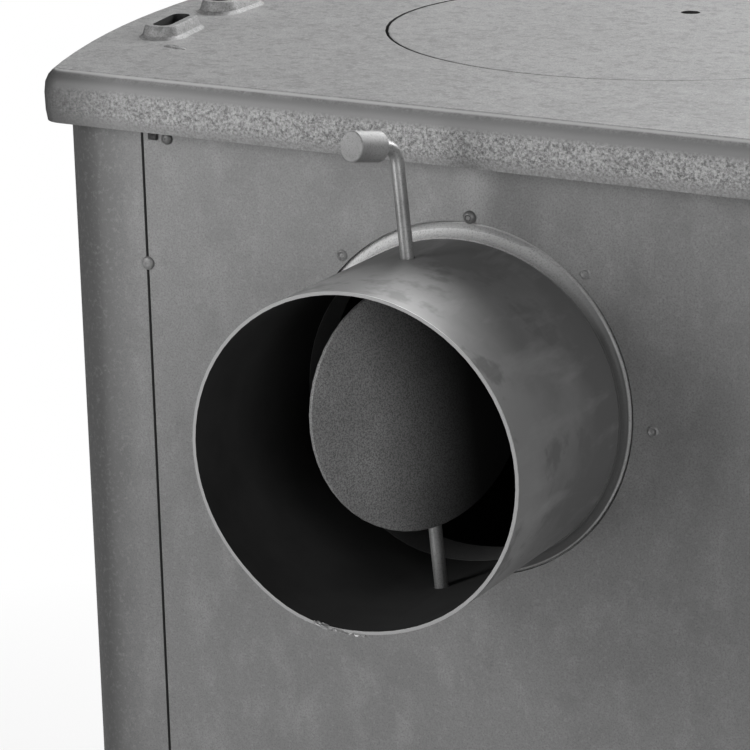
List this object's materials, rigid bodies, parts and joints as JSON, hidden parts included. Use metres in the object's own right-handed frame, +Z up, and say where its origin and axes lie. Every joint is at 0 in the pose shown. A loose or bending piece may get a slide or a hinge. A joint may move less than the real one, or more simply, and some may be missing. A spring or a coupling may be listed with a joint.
{
  "type": "potbelly stove",
  "caption": "Freestanding wood-burning stove with a cast cooking top, tapered sheet casing, rear flue outlet with a butterfly damper, glazed fire door and ash drawer",
  "frame": {"origin": "On the floor, under the middle of the stove's bounding box", "axes": "+Z up; -Y the way the fire door faces, +Y the way the flue leaves; +X to the right of someone facing the fire door"},
  "size_m": [0.49, 0.562, 0.786],
  "materials": {
    "cast_iron": "speckled matt stove enamel over a fine cast skin",
    "painted_sheet": "satin heat-proof paint",
    "smoked_steel": "rolled mill finish, smoked and patchy",
    "bare_steel": "bare, fine turned",
    "zinc_steel": "zinc plated",
    "black_steel": "matt black heat-proof paint",
    "fireclay": "pressed, rough",
    "rope_seal": "knitted glass rope",
    "stove_glass": "clear glass ceramic, lightly smoked",
    "beech": "oiled, fine grained"
  },
  "bodies": {
    "stove": {"hob_plate": "cast_iron", "door_frame": "cast_iron", "latch_keeper": "cast_iron", "hearth_plate": "cast_iron", "grate": "cast_iron", "leg_front_left": "cast_iron", "leg_front_right": "cast_iron", "leg_rear_left": "cast_iron", "leg_rear_right": "cast_iron", "side_panel_left": "painted_sheet", "side_panel_right": "painted_sheet", "rear_panel": "painted_sheet", "front_panel": "painted_sheet", "firebox_floor": "smoked_steel", "firebox_rim": "smoked_steel", "firebox_front": "smoked_steel", "firebox_rear": "smoked_steel", "firebox_side_left": "smoked_steel", "firebox_side_right": "smoked_steel", "flue_pipe": "smoked_steel", "flue_flange": "bare_steel", "hinge_pin_lower": "bare_steel", "hinge_pin_upper": "bare_steel", "levelling_foot_front_left": "zinc_steel", "levelling_foot_front_right": "zinc_steel", "levelling_foot_rear_left": "zinc_steel", "levelling_foot_rear_right": "zinc_steel", "base_plate": "black_steel", "brick_left": "fireclay", "brick_right": "fireclay", "brick_rear": "fireclay", "baffle_plate": "fireclay"},
    "door": {"fire_door": "cast_iron", "door_glass": "stove_glass", "glass_clip_left": "zinc_steel", "glass_clip_right": "zinc_steel", "door_seal": "rope_seal", "latch_bolt": "zinc_steel"},
    "latch": {"latch_handle": "black_steel", "latch_grip": "beech"},
    "ash_drawer": {"ash_tray": "black_steel", "drawer_front": "cast_iron", "drawer_pull": "bare_steel"},
    "air_control": {"air_slide": "black_steel", "air_slide_knob": "zinc_steel"},
    "damper": {"damper_shaft": "bare_steel", "damper_plate": "black_steel", "damper_knob": "bare_steel"},
    "lid": {"hob_lid": "cast_iron"}
  },
  "joints": [
    {"name": "door_swing", "type": "hinge", "parent": "stove", "child": "door", "pos_m": [-0.136, -0.2355, 0.455], "axis": [0, 0, -1], "range_deg": [0, 110]},
    {"name": "latch_turn", "type": "hinge", "parent": "door", "child": "latch", "pos_m": [0.112, -0.25, 0.455], "axis": [0, -1, 0], "range_deg": [0, 60]},
    {"name": "drawer_slide", "type": "slide", "parent": "stove", "child": "ash_drawer", "axis": [0, -1, 0], "range_m": [0, 0.25]},
    {"name": "air_slide_move", "type": "slide", "parent": "ash_drawer", "child": "air_control", "axis": [-1, 0, 0], "range_m": [0, 0.011]},
    {"name": "damper_turn", "type": "hinge", "parent": "stove", "child": "damper", "pos_m": [-0.0021, 0.2173, 0.647], "axis": [0.1167, 0, 0.9932], "range_deg": [-61.5, 28.5]},
    {"name": "lid_lift", "type": "slide", "parent": "stove", "child": "lid", "axis": [0, 0, 1], "range_m": [0, 0.12]}
  ]
}
